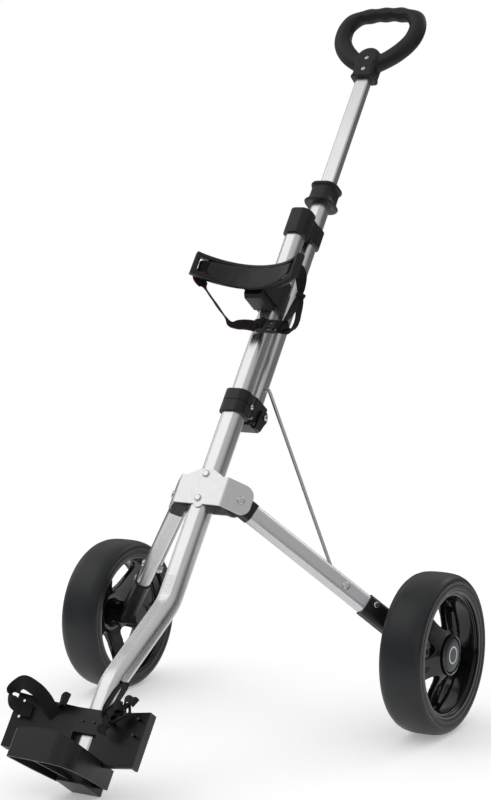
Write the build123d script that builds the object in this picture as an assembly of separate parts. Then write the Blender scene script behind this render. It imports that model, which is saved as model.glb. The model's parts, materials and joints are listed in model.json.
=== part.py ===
from build123d import *
import os
from math import atan2, cos, degrees, hypot, radians, sin, tan

# Two-wheel folding golf pull trolley. Millimetres. +Z is up, +Y is towards the handle,
# +X is to the right seen from the bag's side (the front, -Y).
# Parts on the sloping tube are drawn upright, in the tube's own frame: x across,
# y backwards from the tube's axis, z up along the tube from the leg bracket.
# mast_frame then leans them into place.

# ---- driving dimensions -------------------------------------------------------------
WHEEL_RADIUS = 130.0
TYRE_WIDTH = 72.0
HALF_TRACK = 307.0          # centre plane of each wheel
AXLE_Y = 97.7
TUBE_LEAN = 53.2            # main tube's angle above the ground, degrees
BRACKET_Y = AXLE_Y - 189.1  # leg bracket's centre on the tube's axis
BRACKET_Z = 388.9

MAIN_WIDTH, MAIN_DEPTH, MAIN_CORNER = 36.0, 33.0, 12.0
UPPER_WIDTH, UPPER_DEPTH, UPPER_CORNER = 31.0, 28.0, 10.0
REAR_WIDTH, REAR_DEPTH, REAR_CORNER = 30.0, 28.0, 10.0
HANDLE_WIDTH, HANDLE_DEPTH, HANDLE_CORNER = 26.0, 16.0, 3.0
WALL = 1.5
REAR_Y = 42.0               # rear tube's axis behind the main tube's axis

MAIN_TOP = 188.0
BEND_TOP = -186.0
BEND_BOTTOM = -350.0
BEND_OFFSET = -71.0         # the S-bend carries the foot this far forward
MAIN_END = -496.0
BEND_RADIUS = 80.0
BEND_LEAN = degrees(atan2(-BEND_OFFSET, BEND_TOP - BEND_BOTTOM))

UPPER_BOTTOM, UPPER_TOP = 135.0, 541.0
REAR_BOTTOM, REAR_TOP = 198.0, 600.0
HANDLE_BOTTOM, HANDLE_TOP = 440.0, 892.0
CLAMP_LOW, CLAMP_HIGH = 150.0, 190.0
LEVER_Y, LEVER_Z = 55.0, 178.0
LEVER_PIN = 3.0
BOLT_Y, BOLT_Z = 19.5, 158.0
STRAP = 2.0                 # webbing's thickness

# ---- foot, cradle and grip ----------------------------------------------------------
TUBE_FRONT = BEND_OFFSET - MAIN_DEPTH / 2
FOOT_BACK, HEEL_BACK = -44.0, -34.0
FOOT_LOW, HEEL_HIGH = -515.0, -486.0
HOOP_LOW, HOOP_HIGH, HOOP_CROWN = -521.0, -480.0, -472.0
HOOP_RISE = 12.0            # the hoop's lower edge rises this much towards the back
SADDLE_LOW, SADDLE_HIGH = -487.0, -402.0
HOOP_OUTLINE = [(-46, -60), (-50, -120), (-50, -195), (52, -187), (54, -120), (48, -60)]
CRADLE_RADIUS = 138.0
CRADLE_FRONT = -71.0
CRADLE_LOW, CRADLE_HIGH = 350.0, 392.0
RING_LEVEL = 1006.0          # axis of the grip's top bar
GRIP_RADIUS = 14.0

# ---- leg bracket --------------------------------------------------------------------
RIVET_HEIGHTS = (33.0, -10.0)
RIVET_RADIUS = 3.0
PIN_RADIUS = 4.0            # the legs' pivot pins
BACK_FACE = MAIN_DEPTH / 2

# ---- leg folding geometry -----------------------------------------------------------
WING_BEND = 51.0            # the bracket's wings are bent back this far
WING_X, WING_Y = 44.0, -19.0
PIVOT_REACH = 30.6          # leg pivot's distance along the wing
WING_END = 19.0             # front wing's reach beyond the leg pivot
PIVOT_Z = 3.0
PLATE = 2.5
KNUCKLE_FRONT, KNUCKLE_BACK = -3.0, -27.0
LEG_WIDTH, LEG_DEPTH, LEG_CORNER = 32.0, 24.0, 9.0
LEG_START, LEG_END = 30.0, 292.0
SLEEVE_START = 264.0
SCREW_AT = 278.0
STRUT_BOLT_AT = 219.0       # along the leg from its pivot
EYE_FRONT = -27.3           # the eye lies just behind the leg's rear face
EYE_BACK = -32.3
STRUT_ROD = 2.5             # rod radius
STRUT_HOLE_Z = 222.0

# ---- wheels -------------------------------------------------------------------------
AXLE_RADIUS = 6.0
BUSH_RADIUS = 9.0
RIM_RADIUS = 104.0
HUB_RADIUS = 21.0
HUB_LOW, HUB_HIGH = -11.0, 27.0

RUNNING = 0.05              # radial clearance of a running fit
LOOSE = 0.3                 # gap between parts that pass each other

# ---- placing ------------------------------------------------------------------------
mast_frame = Plane(
    origin=(0, BRACKET_Y, BRACKET_Z),
    x_dir=(1, 0, 0),
    z_dir=(0, cos(radians(TUBE_LEAN)), sin(radians(TUBE_LEAN))),
)
outward = Vector(sin(radians(WING_BEND)), -cos(radians(WING_BEND)), 0)
sideways = Vector(cos(radians(WING_BEND)), sin(radians(WING_BEND)), 0)
up_tube = Vector(0, 0, 1)
pivot = Vector(WING_X, WING_Y, PIVOT_Z) + sideways * PIVOT_REACH


def lean(shape):
    """Carry a part from the tube's own frame to the trolley's frame."""
    return mast_frame.location * shape


def tube_point(y, z):
    """The (y, z) point of the tube's frame that lies at this world point in the X = 0 plane."""
    dy = y - BRACKET_Y
    dz = z - BRACKET_Z
    back = dy * sin(radians(TUBE_LEAN)) - dz * cos(radians(TUBE_LEAN))
    along = dy * cos(radians(TUBE_LEAN)) + dz * sin(radians(TUBE_LEAN))
    return back, along


axle_back, axle_along = tube_point(AXLE_Y, WHEEL_RADIUS)
leg_root = pivot + outward * ((KNUCKLE_FRONT + KNUCKLE_BACK) / 2)
leg_side_reach = (axle_back - leg_root.Y) / sideways.Y
leg_drop = leg_root.Z - axle_along
LEG_ANGLE = degrees(atan2(leg_side_reach, leg_drop))
LEG_REACH = hypot(leg_side_reach, leg_drop)
leg_dir = sideways * sin(radians(LEG_ANGLE)) - up_tube * cos(radians(LEG_ANGLE))
leg_wide = sideways * cos(radians(LEG_ANGLE)) + up_tube * sin(radians(LEG_ANGLE))
fold_plane = Plane(origin=pivot, x_dir=sideways, z_dir=outward)
leg_run = Plane(origin=pivot, x_dir=leg_wide, z_dir=leg_dir)
leg_mid = (KNUCKLE_FRONT + KNUCKLE_BACK) / 2
wheel_frame = Plane(origin=(HALF_TRACK, AXLE_Y, WHEEL_RADIUS), x_dir=(0, 1, 0), z_dir=(1, 0, 0))
strut_hole = Vector(REAR_WIDTH / 2, REAR_Y, STRUT_HOLE_Z)
strut_knee = strut_hole + outward * 12

sides = {"right": lambda shape: shape, "left": lambda shape: mirror(shape, about=Plane.YZ)}


# ---- building blocks ----------------------------------------------------------------
def bar(width, depth, corner, low, high, y=0.0, x=0.0):
    """Upright bar of rounded-rectangle section."""
    return extrude(Pos(x, y, low) * RectangleRounded(width, depth, corner), high - low)


def tube(width, depth, corner, low, high, y=0.0):
    """Upright tube with the standard wall."""
    outer = bar(width, depth, corner, low, high, y)
    inner = bar(width - 2 * WALL, depth - 2 * WALL, corner - WALL, low - 1, high + 1, y)
    return outer - inner


def rod(radius, start, end):
    """Round rod between two points."""
    along = Vector(*end) - Vector(*start)
    return extrude(Plane(origin=start, z_dir=along) * Circle(radius), along.length)


def plate(points, low, high, corner=0.0):
    """Flat outline in the x, y plane, extruded along z."""
    outline = Pos(0, 0, low) * Polygon(*points, align=None)
    if corner:
        outline = fillet(outline.vertices(), corner)
    return extrude(outline, high - low)


def box_between(low, high):
    """Box from its low corner to its high corner."""
    size = [b - a for a, b in zip(low, high)]
    middle = [(a + b) / 2 for a, b in zip(low, high)]
    return Pos(*middle) * Box(*size)


def domed_pin(radius, head_radius, head_height, start, end):
    """Rivet or bolt whose domed head stands on the end point; its shank runs to the start."""
    along = (Vector(*end) - Vector(*start)).normalized()
    head = extrude(Plane(origin=end, z_dir=along) * Circle(head_radius), head_height)
    rim = head.edges().sort_by(Axis(end, along))[-1]
    return rod(radius, start, end) + fillet(rim, head_height * 0.8)


def at(plane, x, y, z):
    """World or tube-frame point at these coordinates of a plane's own frame."""
    return plane.from_local_coords(Vector(x, y, z))


# ---- main frame ---------------------------------------------------------------------
def main_path():
    """Tube's centre line: straight, an S-bend forwards, and straight again to the foot."""
    corners = [
        (0, 0, MAIN_TOP),
        (0, 0, BEND_TOP),
        (0, BEND_OFFSET, BEND_BOTTOM),
        (0, BEND_OFFSET, MAIN_END),
    ]
    return FilletPolyline(*corners, radius=BEND_RADIUS)


def main_tube():
    start = Pos(0, 0, MAIN_TOP)
    outer = sweep(start * RectangleRounded(MAIN_WIDTH, MAIN_DEPTH, MAIN_CORNER), main_path())
    bore = RectangleRounded(MAIN_WIDTH - 2 * WALL, MAIN_DEPTH - 2 * WALL, MAIN_CORNER - WALL)
    body = outer - sweep(start * bore, main_path())
    groove = Pos(0, -55.5, -267.1) * Rot(-BEND_LEAN, 0, 0) * bar(9, 6, 2.9, -26, 26)
    for height in RIVET_HEIGHTS:
        body -= rod(RIVET_RADIUS, (0, -30, height), (0, 30, height))
    return lean(body - groove)


def front_plate():
    """Front half of the leg bracket: bent wings, an upper ear and a lower lobe."""
    body = both(bent_half()) + lobe_and_ear()
    for height in RIVET_HEIGHTS:
        body -= rod(RIVET_RADIUS, (0, -30, height), (0, 30, height))
    return lean(body - both(pivot_rod(PIN_RADIUS)))


def bent_half():
    """Right half of the front plate: web, bend, and a wing with a rounded end."""
    middle = WING_Y + PLATE / 2
    bend = (WING_X - PLATE / 2 * tan(radians(WING_BEND / 2)), middle)
    end = pivot + sideways * WING_END - outward * (PLATE / 2)
    path = FilletPolyline((0, middle), bend, (end.X, end.Y), radius=4)
    half = extrude(Pos(0, 0, -20) * trace(path, PLATE), 50)
    corners = half.edges().filter_by(Axis((0, 0, 0), tuple(outward)))
    return fillet(corners, 17)


def lobe_and_ear():
    ear = Polygon((-32, 20), (32, 20), (32, 31), (13, 41), (-13, 41), (-32, 31), align=None)
    ear = fillet(ear.vertices().filter_by(lambda v: v.Y > 25), 4)
    outline = ear + Pos(3, -17) * Circle(9)
    return Pos(0, WING_Y + PLATE, 0) * extrude(Plane.XZ * outline, PLATE)


def wing_outline(inner, outer):
    """Wing in its own plane: from the bend to a rounded outer end about the leg pivot."""
    outline = Pos((inner + outer) / 2, 2) * Rectangle(outer - inner, 48)
    return fillet(outline.vertices().group_by(Axis.X)[-1], 17)


def rear_wing():
    low = KNUCKLE_BACK - 0.4 - PLATE
    wing = extrude(Pos(0, 0, low) * wing_outline(-8.6, 17), PLATE)
    return fold_plane.location * wing - pivot_rod(PIN_RADIUS)


def rear_plate():
    """Rear half of the leg bracket, on the tube's back face."""
    web = box_between((-38, BACK_FACE, -20), (38, BACK_FACE + PLATE, 26))
    body = web + both(rear_wing())
    for height in RIVET_HEIGHTS:
        body -= rod(RIVET_RADIUS, (0, -30, height), (0, 30, height))
    return lean(body)


def both(shape):
    return shape + mirror(shape, about=Plane.YZ)


def pivot_rod(radius, low=-60.0, high=30.0):
    return rod(radius, at(fold_plane, 0, 0, low), at(fold_plane, 0, 0, high))


def bracket_rivets():
    rivets = []
    for height in RIVET_HEIGHTS:
        front = (0, WING_Y, height)
        back = (0, BACK_FACE + PLATE, height)
        rivet = domed_pin(RIVET_RADIUS, 6, 2.6, (0, 0, height), front)
        rivets.append(rivet + domed_pin(RIVET_RADIUS, 6, 2.6, (0, 0, height), back))
    return lean(Compound(rivets))


def leg_pin():
    """Rivet through both wings that the leg's knuckle turns on."""
    front = at(fold_plane, 0, 0, 0)
    back = at(fold_plane, 0, 0, KNUCKLE_BACK - 0.4 - PLATE)
    middle = at(fold_plane, 0, 0, leg_mid)
    pin = domed_pin(PIN_RADIUS, 6.5, 3, tuple(middle), tuple(front))
    return lean(pin + domed_pin(PIN_RADIUS, 5.5, 2.5, tuple(middle), tuple(back)))


def guide_sleeve():
    """Nylon sleeve in the main tube's mouth, which the upper tube slides in."""
    outer = bar(MAIN_WIDTH - 2 * WALL, MAIN_DEPTH - 2 * WALL, MAIN_CORNER - WALL, 152, MAIN_TOP)
    inner = bar(UPPER_WIDTH + 0.2, UPPER_DEPTH + 0.2, UPPER_CORNER + 0.1, 150, MAIN_TOP + 1)
    return lean(outer - inner)


# ---- foot ---------------------------------------------------------------------------
def saddle_blank():
    """V-shaped cradle for the bag's lower end, with a lip turned back at each tip."""
    front = [(0, TUBE_FRONT - 7), (24, TUBE_FRONT - 7), (66, -102), (118, -121)]
    back = [(118, -104), (113, -104), (113, -113), (64, -96), (22, TUBE_FRONT - 0.5), (0, TUBE_FRONT - 0.5)]
    right = plate(front + back, SADDLE_LOW, SADDLE_HIGH)
    return both(right)


def foot_saddle():
    body = saddle_blank()
    body -= box_between((-21, TUBE_FRONT - 20, SADDLE_LOW - 1), (21, TUBE_FRONT + 5, -440))
    for height in (-415, -440):
        body -= both(rod(2, (102, -140, height), (102, -90, height)))
    return lean(body - foot_screw_pair())


def hoop_ring():
    outer = Polygon(*HOOP_OUTLINE, align=None)
    outer = fillet(outer.vertices().group_by(Axis.Y)[0], 12)
    outer = fillet(outer.vertices().sort_by(lambda v: v.X - v.Y)[-1], 34)
    inner = offset(outer, -4, kind=Kind.INTERSECTION)
    ring = extrude(Pos(0, 0, HOOP_LOW) * (outer - inner), HOOP_CROWN - HOOP_LOW)
    rib = box_between((-1.5, -188, HOOP_LOW), (1.5, TUBE_FRONT - 4, HOOP_LOW + 16))
    crown = ThreePointArc((-60, HOOP_HIGH - 3), (0, HOOP_CROWN), (60, HOOP_HIGH - 3))
    below = Polyline((60, HOOP_HIGH - 3), (60, HOOP_LOW), (-60, HOOP_LOW), (-60, HOOP_HIGH - 3))
    kept = extrude(Plane.XZ * make_face(crown + below), 250)
    heel = Polygon((-195, HOOP_LOW), (0, HOOP_LOW), (0, HOOP_LOW + HOOP_RISE * 1.45), align=None)
    cut = extrude(Plane.YZ * heel, 60, both=True)
    return ((ring + rib) & kept) - cut


def foot_bracket():
    """Moulded foot: a block on the tube's end and the hoop that carries the bag's base."""
    front = TUBE_FRONT - 4
    block = bar(47, FOOT_BACK - front, 6, FOOT_LOW, -404, y=(front + FOOT_BACK) / 2)
    socket = bar(MAIN_WIDTH, MAIN_DEPTH, MAIN_CORNER, MAIN_END, -400, y=BEND_OFFSET)
    heel = bar(51, HEEL_BACK - front, 6, FOOT_LOW, HEEL_HIGH, y=(front + HEEL_BACK) / 2)
    body = block + heel + hoop_ring() - socket - saddle_blank() - foot_screw_pair()
    window = box_between((-20, TUBE_FRONT - 6, -482), (20, TUBE_FRONT + 1, -441))
    placed = lean(body - window)
    return placed - Pos(0, 0, -50) * Box(1000, 3000, 100)


def foot_screws():
    """Two screws that hold the saddle and the block on the tube."""
    return lean(foot_screw_pair())


def foot_screw_pair():
    shanks = [rod(2.0, (x, TUBE_FRONT - 9, -422), (x, TUBE_FRONT - 2, -422)) for x in (-10, 10)]
    return Compound(shanks)


def strap_rivets():
    """Four rivets that hold the strap's ends on the saddle's wings."""
    rivets = []
    for x in (-102, 102):
        for height in (-415, -440):
            rivets.append(rod(2.0, (x, -124, height), (x, -106.5, height)))
    return lean(Compound(rivets))


def foot_strap_left():
    """Webbing loop that stands up from the left wing."""
    loop = [(-104, -441), (-112, -424), (-122, -402), (-120, -380), (-106, -366), (-88, -372),
            (-72, -392), (-58, -414)]
    line = FilletPolyline(*loop, radius=9)
    band = trace(line, STRAP)
    return lean(extrude(Plane(origin=(0, -126, 0), x_dir=(1, 0, 0), z_dir=(0, -1, 0)) * band, 20))


def foot_strap_right():
    """Shorter webbing loop on the right wing."""
    loop = [(18, -424), (24, -396), (30, -372), (44, -366), (50, -378), (46, -400), (40, -420)]
    line = FilletPolyline(*loop, radius=6)
    band = trace(line, STRAP)
    return lean(extrude(Plane(origin=(0, -103, 0), x_dir=(1, 0, 0), z_dir=(0, -1, 0)) * band, 18))


def foot_buckle():
    """Side-release buckle lying on the right wing."""
    body = bar(34, 9, 3, -424, -396, y=-115, x=72)
    return lean(body - bar(22, 3, 1, -430, -412, y=-115, x=72))


# ---- legs ---------------------------------------------------------------------------
def leg_bar(width, depth, corner, start, end):
    return bar(width, depth, corner, start, end, y=leg_mid)


def knuckle():
    """Moulded end that turns on the leg pin and plugs into the leg tube."""
    eye = extrude(Pos(0, 0, KNUCKLE_BACK) * Circle(16), -KNUCKLE_BACK + KNUCKLE_FRONT)
    eye = fold_plane.location * eye
    neck = leg_bar(LEG_WIDTH, LEG_DEPTH, 5, 0, LEG_START)
    spigot = leg_bar(LEG_WIDTH - 2 * WALL, LEG_DEPTH - 2 * WALL, LEG_CORNER - WALL, LEG_START, 62)
    body = eye + leg_run.location * (neck + spigot)
    return lean(body - pivot_rod(PIN_RADIUS + RUNNING))


def strut_bolt_axis(level):
    return at(leg_run, 0, level, STRUT_BOLT_AT)


def leg_tube():
    outer = leg_bar(LEG_WIDTH, LEG_DEPTH, LEG_CORNER, LEG_START, LEG_END)
    inner = leg_bar(LEG_WIDTH - 2 * WALL, LEG_DEPTH - 2 * WALL, LEG_CORNER - WALL, 0, LEG_END + 1)
    body = leg_run.location * (outer - inner)
    hole = rod(3, strut_bolt_axis(-40), strut_bolt_axis(10))
    return lean(body - hole - socket_screw_hole())


def strut_bolt():
    """Round-headed bolt through the leg, ending flush with the leg's rear face."""
    back = strut_bolt_axis(KNUCKLE_BACK)
    front = strut_bolt_axis(KNUCKLE_FRONT)
    return lean(domed_pin(3, 6.5, 3.5, tuple(back), tuple(front)))


def axle_socket():
    """Moulded end of the leg: a sleeve over the tube and a boss that grips the axle."""
    sleeve = leg_bar(LEG_WIDTH + 5, LEG_DEPTH + 4, 10, SLEEVE_START, LEG_REACH - 8)
    cavity = leg_bar(LEG_WIDTH, LEG_DEPTH, LEG_CORNER, SLEEVE_START - 1, LEG_END)
    sleeve = lean(leg_run.location * (sleeve - cavity))
    boss = wheel_bar(17, -47, -12)
    trim = wheel_bar(60, -12, 40)
    return sleeve + boss - trim - wheel_bar(AXLE_RADIUS, -40, 40) - lean(socket_screw_hole())


def socket_screw_hole():
    return leg_run.location * rod(2.5, (6, leg_mid, SCREW_AT), (6, 8, SCREW_AT))


def socket_screw():
    """Round-headed screw through the sleeve into the leg tube."""
    screw = domed_pin(2.5, 5, 2, (6, KNUCKLE_FRONT - 3, SCREW_AT), (6, KNUCKLE_FRONT + 2, SCREW_AT))
    return lean(leg_run.location * screw)


# ---- wheels -------------------------------------------------------------------------
def wheel_bar(radius, low, high):
    """Disc or pin about the wheel's axis, placed by its distance from the wheel's centre plane."""
    return wheel_frame.location * extrude(Pos(0, 0, low) * Circle(radius), high - low)


def wheel_turned(points):
    """Ring turned about the wheel's axis from a section in radius and width."""
    return wheel_frame.location * revolve(Plane.XZ * Polygon(*points, align=None), Axis.Z)


def tyre():
    """Hollow moulded tyre, open towards the rim."""
    section = Pos((RIM_RADIUS + WHEEL_RADIUS) / 2, 0) * Rectangle(WHEEL_RADIUS - RIM_RADIUS, TYRE_WIDTH)
    corners = section.vertices()
    section = fillet(corners.group_by(Axis.X)[-1], 13)
    section = fillet(section.vertices().group_by(Axis.X)[0], 3)
    hollow = Pos(RIM_RADIUS + 9, 0) * RectangleRounded(22, TYRE_WIDTH - 12, 6)
    return wheel_frame.location * revolve(Plane.XZ * (section - hollow), Axis.Z)


def spoke():
    """One Y-shaped spoke: a stem from the hub that parts into two arms."""
    stem = Polygon((14, -13), (58, -10), (58, 10), (14, 13), align=None)
    arm = Polygon((48, -9), (99, 13), (97, 29), (56, 9), align=None)
    return stem + arm + mirror(arm, about=Plane.XZ)


def wheel_centre():
    """Spoked centre: hub, dished web of Y-shaped spokes and a barrel under the tyre."""
    barrel = wheel_turned([
        (RIM_RADIUS, -33), (RIM_RADIUS, 33), (96, 33), (96, 29), (99, 27), (99, -29), (96, -31), (96, -33),
    ])
    spokes = Sketch() + [Rot(0, 0, 72 * index + 18) * spoke() for index in range(5)]
    web = wheel_frame.location * extrude(Pos(0, 0, 10) * spokes, 13)
    hub = wheel_bar(HUB_RADIUS, HUB_LOW, HUB_HIGH)
    body = barrel + web + hub
    return body - wheel_bar(BUSH_RADIUS, HUB_LOW - 1, HUB_HIGH + 1)


def wheel_bush():
    """Plain bearing in the hub that runs on the axle."""
    outer = wheel_bar(BUSH_RADIUS, HUB_LOW, HUB_HIGH)
    return outer - wheel_bar(AXLE_RADIUS + RUNNING, HUB_LOW - 1, HUB_HIGH + 1)


def axle():
    """Steel axle held in the leg's socket, with the end collar that keeps the wheel on."""
    return wheel_bar(AXLE_RADIUS, -40, 27.5) + wheel_bar(10, 27.5, 30)


def hub_cap():
    """Dished cap clipped over the axle's end."""
    cap = wheel_bar(27, HUB_HIGH - 3, 34)
    cap = fillet(cap.edges().sort_by(Axis.X)[-1], 3)
    return cap - wheel_bar(HUB_RADIUS, HUB_HIGH - 4, HUB_HIGH) - wheel_bar(14, HUB_HIGH - 4, 31)


# ---- struts -------------------------------------------------------------------------
def strut_rod():
    """Steel rod: a bent end that turns in the rear tube, a straight run, and a flat eye."""
    inner = strut_hole - outward * 9
    strut_eye = strut_bolt_axis((EYE_FRONT + EYE_BACK) / 2)
    path = FilletPolyline(tuple(inner), tuple(strut_knee), tuple(strut_eye), radius=7)
    start = Plane(origin=tuple(inner), z_dir=outward)
    body = sweep(start * Circle(STRUT_ROD), path)
    eye = rod(8, strut_bolt_axis(EYE_BACK), strut_bolt_axis(EYE_FRONT))
    ahead = rod(20, strut_bolt_axis(EYE_FRONT), strut_bolt_axis(20))
    behind = rod(5.5, strut_bolt_axis(EYE_BACK), strut_bolt_axis(-60))
    return lean(body + eye - ahead - behind)


def strut_nut():
    """Domed nut on the strut's eye."""
    return lean(rod(5.5, strut_bolt_axis(EYE_BACK), strut_bolt_axis(EYE_BACK - 4)))


# ---- sliding mast -------------------------------------------------------------------
def upper_tube():
    return lean(tube(UPPER_WIDTH, UPPER_DEPTH, UPPER_CORNER, UPPER_BOTTOM, UPPER_TOP))


def strut_bore():
    """The angled holes that both struts' bent ends turn in."""
    inner = strut_hole - outward * 10
    outer = strut_hole + outward * 10
    return both(rod(STRUT_ROD + RUNNING, tuple(inner), tuple(outer)))


def rear_tube():
    body = tube(REAR_WIDTH, REAR_DEPTH, REAR_CORNER, REAR_BOTTOM, REAR_TOP, y=REAR_Y)
    return lean(body - strut_bore())


def top_collar():
    """Moulded collar that closes the upper tube and ties it to the rear tube."""
    front = bar(40, 38, 14, 497, 545)
    rear = bar(38, 36, 13, 506, 540, y=REAR_Y)
    tie = box_between((-17, 12, 506), (17, 32, 540))
    body = front + rear + tie
    body -= bar(UPPER_WIDTH, UPPER_DEPTH, UPPER_CORNER, 490, UPPER_TOP)
    return lean(body - bar(REAR_WIDTH, REAR_DEPTH, REAR_CORNER, 490, 560, y=REAR_Y))


def clamp_body():
    """Sliding clamp: a grooved band round the main tube and a block under the rear tube."""
    band = bar(45, 42, 15, CLAMP_LOW, CLAMP_HIGH)
    groove = bar(60, 60, 10, 169.5, 171.0) - bar(43, 40, 14, 168, 173)
    block = bar(34, 50, 8, 163, REAR_BOTTOM, y=43)
    plug = bar(REAR_WIDTH - 2 * WALL, REAR_DEPTH - 2 * WALL, REAR_CORNER - WALL, REAR_BOTTOM, 238, y=REAR_Y)
    clear = bar(MAIN_WIDTH + 2 * LOOSE, MAIN_DEPTH + 2 * LOOSE, MAIN_CORNER + LOOSE, 140, 200)
    body = band - groove + block + plug - clear
    body -= rod(LEVER_PIN, (-30, LEVER_Y, LEVER_Z), (30, LEVER_Y, LEVER_Z))
    body -= rod(2.5, (-30, BOLT_Y, BOLT_Z), (30, BOLT_Y, BOLT_Z))
    return lean(body - strut_bore())


def clamp_bolt():
    shank = rod(2.5, (-22, BOLT_Y, BOLT_Z), (22, BOLT_Y, BOLT_Z))
    return lean(shank)


def lever_pin():
    pin = rod(LEVER_PIN, (-24, LEVER_Y, LEVER_Z), (24, LEVER_Y, LEVER_Z))
    return lean(pin)


def cam_lever():
    """Forked lever that tightens the clamp: two round cheeks and a paddle below the block."""
    hinge = Plane(origin=(0, LEVER_Y, LEVER_Z), x_dir=(0, 1, 0), z_dir=(1, 0, 0))
    cheek = Circle(12) + Polygon((12, 0), (-12, 0), (-16, -28), (2, -26), align=None)
    right = extrude(hinge * Pos(0, 0, 17.4) * cheek, 4, dir=(1, 0, 0))
    outline = Polygon((8, -19.6), (-4, -21.6), (-32, -25), (-31, -30), (3, -27.5), align=None)
    paddle = extrude(hinge * outline, 17.4, both=True)
    hole = rod(LEVER_PIN + RUNNING, (-30, LEVER_Y, LEVER_Z), (30, LEVER_Y, LEVER_Z))
    return lean(both(right) + paddle - hole)


def spool_collar():
    """Flanged collar on the rear tube's mouth, which guides the handle tube."""
    middle = bar(45, 42, 15, 588, 627, y=REAR_Y)
    low_flange = bar(56, 51, 21, 588, 593, y=REAR_Y)
    high_flange = bar(51, 48, 19, 623, 627, y=REAR_Y)
    body = middle + low_flange + high_flange
    body -= bar(REAR_WIDTH, REAR_DEPTH, REAR_CORNER, 580, REAR_TOP, y=REAR_Y)
    guide = bar(HANDLE_WIDTH + 0.4, HANDLE_DEPTH + 0.4, HANDLE_CORNER, 580, 640, y=REAR_Y)
    return lean(body - guide)


# ---- bag cradle ---------------------------------------------------------------------
def arc_band(radius, thickness, half_angle, low, high):
    """Band bent round the bag: an arc in plan, extruded along the tube."""
    centre_y = CRADLE_FRONT - CRADLE_RADIUS
    outer = Circle(radius + thickness) - Circle(radius)
    reach = radius * 2
    edge = reach * sin(radians(half_angle))
    depth = reach * cos(radians(half_angle))
    wedge = Polygon((0, 0), (-edge, depth), (0, reach * 1.5), (edge, depth), align=None)
    return extrude(Pos(0, centre_y, low) * (outer & wedge), high - low)


def cradle_shell():
    """Curved yoke with an open slot in each end for the strap."""
    body = arc_band(CRADLE_RADIUS, 8, 45, CRADLE_LOW, CRADLE_HIGH)
    slot = arc_band(CRADLE_RADIUS - 5, 20, 41.5, CRADLE_LOW + 8, CRADLE_HIGH - 8)
    keep = arc_band(CRADLE_RADIUS - 6, 24, 35.5, CRADLE_LOW, CRADLE_HIGH)
    return lean(body - (slot - keep))


def cradle_pad():
    """Soft pad on the yoke's bag side."""
    pad = arc_band(CRADLE_RADIUS - 6, 5.7, 33, CRADLE_LOW - 10, CRADLE_HIGH - 12)
    return lean(pad)


def cradle_bracket():
    """Moulding that clamps the yoke to the upper tube, with a gusset down each side."""
    ring = bar(41, 36, 13, 346, 404)
    neck = box_between((-20, CRADLE_FRONT + 3, 352), (20, -10, 390))
    toe = box_between((-16, CRADLE_FRONT + 6, 338), (16, -13.5, 352))
    toe = chamfer(toe.edges().filter_by(Axis.X).group_by(Axis.Z)[0], 7)
    body = ring + neck + toe
    body -= bar(UPPER_WIDTH, UPPER_DEPTH, UPPER_CORNER, 300, 420)
    return lean(body - arc_band(CRADLE_RADIUS - 20, 28, 50, 300, 420) - cradle_screw_pair())


def cradle_screws():
    """Two screws through the back of the clamp ring."""
    return lean(cradle_screw_pair())


def cradle_screw_pair():
    return Compound([rod(2.2, (0, 14.2, height), (0, 19.5, height)) for height in (358, 392)])


def cradle_strap_left():
    """Webbing from the yoke's left slot, hanging down and across to the buckle."""
    across = [(-98, 348), (-90, 336), (-52, 308), (-24, 300), (12, 294)]
    line = FilletPolyline(*across, radius=10)
    band = trace(line, STRAP)
    return lean(extrude(Plane(origin=(0, -62, 0), x_dir=(1, 0, 0), z_dir=(0, -1, 0)) * band, 20))


def cradle_strap_right():
    """Webbing from the buckle back up to the yoke's right slot."""
    across = [(58, 289), (84, 286), (100, 296), (104, 330), (100, 348)]
    line = FilletPolyline(*across, radius=10)
    band = trace(line, STRAP)
    return lean(extrude(Plane(origin=(0, -62, 0), x_dir=(1, 0, 0), z_dir=(0, -1, 0)) * band, 20))


def cradle_buckle():
    """Side-release buckle between the two webbing ends."""
    body = Pos(35, -72, 291) * Rot(0, 8, 0) * Box(44, 26, 8)
    return lean(fillet(body.edges().filter_by(Axis.Y), 2))


# ---- handle -------------------------------------------------------------------------
def handle_tube():
    body = bar(HANDLE_WIDTH, HANDLE_DEPTH, HANDLE_CORNER, HANDLE_BOTTOM, HANDLE_TOP, y=REAR_Y)
    bore = bar(HANDLE_WIDTH - 2 * WALL, HANDLE_DEPTH - 2 * WALL, HANDLE_CORNER - WALL, 430, 900, y=REAR_Y)
    return lean(body - bore)


def handle_glide():
    """Plug on the handle tube's lower end that slides in the rear tube."""
    fit_width = REAR_WIDTH - 2 * WALL - 0.4
    fit_depth = REAR_DEPTH - 2 * WALL - 0.4
    foot = bar(fit_width, fit_depth, REAR_CORNER - WALL, HANDLE_BOTTOM - 14, HANDLE_BOTTOM, y=REAR_Y)
    spigot = bar(23, 13, 1.5, HANDLE_BOTTOM, HANDLE_BOTTOM + 20, y=REAR_Y)
    return lean(foot + spigot)


def grip_arm():
    """Right half of the grip ring, from the boss to the middle of the top bar."""
    corners = [(6, 886), (38, 900), (84, 952), (66, RING_LEVEL), (0, RING_LEVEL)]
    middle = Plane(origin=(0, REAR_Y, 0), x_dir=(1, 0, 0), z_dir=(0, -1, 0))
    path = middle * FilletPolyline(*corners, radius=[30, 26, 20])
    start = Plane(origin=path @ 0, z_dir=path % 0)
    return sweep(start * Circle(GRIP_RADIUS), path)


def handle_grip():
    """Moulded D-shaped grip with a boss that takes the handle tube."""
    boss = bar(44, 32, 9, 859, 904, y=REAR_Y)
    dome = Pos(0, REAR_Y + 16, 0) * extrude(Plane.XZ * (Pos(0, 902) * Circle(20)), 32)
    body = both(grip_arm()) + boss + dome
    body -= bar(HANDLE_WIDTH, HANDLE_DEPTH, HANDLE_CORNER, 850, HANDLE_TOP, y=REAR_Y)
    return lean(body - handle_screw_pair())


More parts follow.
